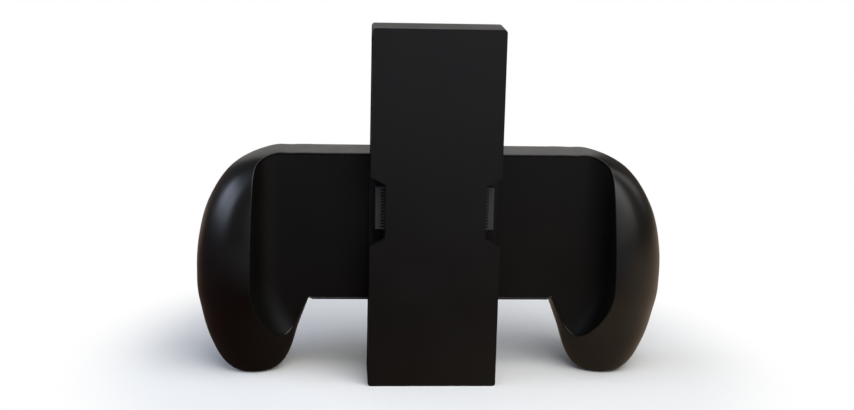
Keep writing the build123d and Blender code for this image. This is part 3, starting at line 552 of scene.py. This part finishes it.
def bed(grow=0.0):
    """The space of both beds: the half controllers' outlines with a cupped back edge."""
    floor = BED_FACE + grow
    side_x = BED_SIDE_X - BED_FACE * tan(radians(BED_DRAFT)) + grow
    corner, cup, draft = BED_CORNER + grow, BED_CUP + grow, radians(BED_DRAFT)
    corner_z = BED_FLOOR_Z + BED_CORNER
    profile = []
    cup_middle = -cup * (1 - sin(draft)) / cos(draft)
    for step in range(CUP_STEPS + 1):
        turn = (pi / 2 - draft) * step / CUP_STEPS
        profile.append((cup_middle + cup * sin(turn), floor - cup + cup * cos(turn)))
    profile.append(((floor + BED_FRONT_REACH) * tan(draft), -BED_FRONT_REACH))
    path = [(side_x, MID_HEIGHT + BED_TOP_REACH, 1, 0)]
    for step in range(ARC_STEPS + 1):
        turn = pi / 2 * step / ARC_STEPS
        out_x, out_z = cos(turn), -sin(turn)
        path.append((side_x - corner + corner * out_x, corner_z + corner * out_z, out_x, out_z))
    path += [(-x, z, -out_x, out_z) for x, z, out_x, out_z in reversed(path)]
    points = [
        (x + out * out_x, depth, z + out * out_z) for x, z, out_x, out_z in path for out, depth in profile
    ]
    count, rows = len(profile), len(path)
    faces = [
        (row * count + i, row * count + i + 1, (row + 1) * count + i + 1, (row + 1) * count + i)
        for row in range(rows - 1) for i in range(count - 1)
    ]
    faces.append([row * count for row in range(rows)])
    faces.append([row * count + count - 1 for row in reversed(range(rows))])
    faces.append(list(range(count)) + [(rows - 1) * count + i for i in reversed(range(count))])
    return solid("bed", points, faces)


def prism(outline, start, end):
    """A straight solid over an outline of X and Z, from one depth to another."""
    return tube("prism", [[(x, depth, z) for x, z in outline] for depth in (start, end)])


def disc(x, z, radius):
    """The outline of a circle."""
    turns = [2 * pi * step / ROUND_STEPS for step in range(ROUND_STEPS)]
    return [(x + radius * cos(turn), z + radius * sin(turn)) for turn in turns]


def slot(x, z, length, width):
    """The outline of an upright slot with round ends."""
    radius, straight = width / 2, (length - width) / 2
    outline = []
    for step in range(ROUND_STEPS + 1):
        turn = pi * step / ROUND_STEPS
        outline.append((x + radius * cos(turn), z + straight + radius * sin(turn)))
    outline += [(2 * x - point_x, 2 * z - point_z) for point_x, point_z in outline]
    return outline


def slab(x, z, width, height):
    """The outline of a rectangle."""
    return [
        (x - width / 2, z - height / 2), (x + width / 2, z - height / 2),
        (x + width / 2, z + height / 2), (x - width / 2, z + height / 2),
    ]


def combine(body, *tools, operation="DIFFERENCE"):
    """The body cut by, joined with or kept inside each of the tools in turn."""
    for tool in tools:
        bpy.context.scene.collection.objects.link(body)
        bpy.context.scene.collection.objects.link(tool)
        step = body.modifiers.new("step", "BOOLEAN")
        step.operation = operation
        step.solver = "EXACT"
        step.object = tool
        depsgraph = bpy.context.evaluated_depsgraph_get()
        mesh = bpy.data.meshes.new_from_object(body.evaluated_get(depsgraph))
        bpy.data.objects.remove(tool)
        name = body.name
        bpy.data.objects.remove(body)
        body = bpy.data.objects.new(name, mesh)
    return body


def both_sides(places):
    """The places and their mirror images across the middle."""
    return [(side * x, z) for x, z in places for side in (1, -1)]


def make_panel():
    """The front panel: the cupped skin of both beds, with its posts and bosses."""
    panel = combine(combine(bed(PANEL_WALL), bed()), form(RIM_LAND + SEAM_GAP), operation="INTERSECT")
    root = BED_FACE + PANEL_WALL / 2
    bosses = [prism(disc(x, z, BOSS_RADIUS), root, PANEL_BOSS_END) for x, z in both_sides(SHELL_SCREWS)]
    posts = [prism(disc(x, z, BOARD_POST_RADIUS), root, BOARD_FRONT) for x, z in both_sides(BOARD_POSTS)]
    panel = combine(panel, *bosses, *posts, operation="UNION")
    holes = [
        prism(disc(x, z, PILOT_RADIUS), PANEL_BOSS_END - SCREW_BITE - FIT_GAP, PANEL_BOSS_END + 1)
        for x, z in both_sides(SHELL_SCREWS)
    ]
    holes += [
        prism(disc(x, z, PILOT_RADIUS), BOARD_FRONT - BOARD_SCREW_BITE - FIT_GAP, BOARD_FRONT + 1)
        for x, z in both_sides(BOARD_POSTS)
    ]
    holes += [prism(disc(x, z, PILOT_RADIUS), BED_FACE - 1, root + 2) for x, z in both_sides(COLUMN_SCREWS)]
    holes += [
        prism(slab(side * RIBBON_X, MID_HEIGHT, RIBBON_WINDOW, RIBBON_WIDTH), BED_FACE - 1, root + 2)
        for side in (1, -1)
    ]
    wing_middle = (WING_BOTTOM + WING_TOP) / 2
    seat = slab(0, wing_middle, 2 * (COLUMN_HALF + FIT_GAP), WING_TOP - WING_BOTTOM)
    return combine(panel, prism(seat, BED_FACE - 1, BED_FACE + SEAT_DEPTH), *holes)


def outer_skin():
    """The hollow outer skin of the wing and handles, which the two shells share."""
    seat = combine(bed(PANEL_WALL + SEAM_GAP), form(RIM_LAND), operation="INTERSECT")
    return combine(form(), bed(), seat, form(SHELL_WALL))


def make_front_shell(skin):
    """The front shell: the skin before the seam, with the slot of the charging inlet."""
    behind = prism(slab(0, MID_HEIGHT, 4 * HALF_SPAN, 4 * HALF_SPAN), SHELL_SPLIT, 2 * HANDLE_BACK)
    width, height = SOCKET_WIDTH + 2 * INLET_GAP, SOCKET_HEIGHT + 2 * INLET_GAP
    rings = []
    for z in (WING_TOP - 2 * SHELL_WALL, WING_TOP + SHELL_WALL):
        rings.append([(out_z, SOCKET_MID + out_x, z) for out_x, out_z in slot(0, 0, width, height)])
    return combine(skin, behind, tube("inlet", rings))


def make_rear_shell(skin):
    """The rear shell: the skin behind the seam, with screw pads, button collars and board posts."""
    before = prism(slab(0, MID_HEIGHT, 4 * HALF_SPAN, 4 * HALF_SPAN), -HANDLE_BACK, SHELL_SPLIT + SEAM_GAP)
    shell = combine(skin, before)
    far = HANDLE_BACK + BUTTON_PROUD
    fittings = [
        prism(disc(x, z, PAD_RADIUS), SHELL_SPLIT + SEAM_GAP, far)
        for x, z in both_sides(SHELL_SCREWS)
    ]
    fittings += [
        prism(disc(x, z, BUTTON_POST_RADIUS), BUTTON_BOARD_REAR, far) for x, z in both_sides(BUTTON_POSTS)
    ]
    collar_length = BUTTON_LENGTH + 2 * BUTTON_GAP + 2 * COLLAR_WALL
    collar_width = BUTTON_WIDTH + 2 * BUTTON_GAP + 2 * COLLAR_WALL
    fittings += [
        prism(slot(side * BUTTON_X, BUTTON_Z, collar_length, collar_width), COLLAR_END, far)
        for side in (1, -1)
    ]
    inward = combine(fittings[0], *fittings[1:], operation="UNION")
    inward = combine(inward, form(SHELL_WALL / 2), operation="INTERSECT")
    shell = combine(shell, inward, operation="UNION")
    hole_length, hole_width = BUTTON_LENGTH + 2 * BUTTON_GAP, BUTTON_WIDTH + 2 * BUTTON_GAP
    holes = [
        prism(slot(side * BUTTON_X, BUTTON_Z, hole_length, hole_width), COLLAR_END - 1, far + 1)
        for side in (1, -1)
    ]
    holes += [
        prism(disc(x, z, PILOT_RADIUS), SHELL_SPLIT, SCREW_SEAT + 1)
        for x, z in both_sides(SHELL_SCREWS)
    ]
    holes += [prism(disc(x, z, HEAD_HOLE_RADIUS), SCREW_SEAT, far + 1) for x, z in both_sides(SHELL_SCREWS)]
    depth = BUTTON_SCREW_BITE + FIT_GAP
    holes += [
        prism(disc(x, z, PILOT_RADIUS), BUTTON_BOARD_REAR - 1, BUTTON_BOARD_REAR + depth)
        for x, z in both_sides(BUTTON_POSTS)
    ]
    return combine(shell, *holes)


def stand_in(piece, name, node, body, material):
    """Puts a smooth piece in the place of its CAD node."""
    piece.name = name
    piece.data.name = name
    piece.data.materials.clear()
    piece.data.materials.append(material)
    piece.data.shade_smooth()
    piece.data.set_sharp_from_angle(angle=SHARP_ANGLE)
    bpy.context.scene.collection.objects.link(piece)
    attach(piece, body)
    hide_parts(node)


place_camera()
build_room()
bpy.context.scene.view_settings.view_transform = "Standard"

materials = {name: plated_metal(name, *values) for name, values in METALS.items()}
for name, values in PLASTICS.items():
    if name != "tab_plastic":
        materials[name] = moulded_plastic(name, *values)
materials["tab_plastic"] = connector_tab_plastic()
slots = {part["node"]: part["material_slot"] for part in frame["record"]["subparts"]}
dress(materials, slots)

skin = outer_skin()
spare = skin.copy()
spare.data = skin.data.copy()
smooth_pieces = {
    "front_panel": make_panel(),
    "front_shell": make_front_shell(skin),
    "rear_shell": make_rear_shell(spare),
}
for name, piece in smooth_pieces.items():
    stand_in(piece, "smooth_" + name, name, "base", materials[slots[name]])
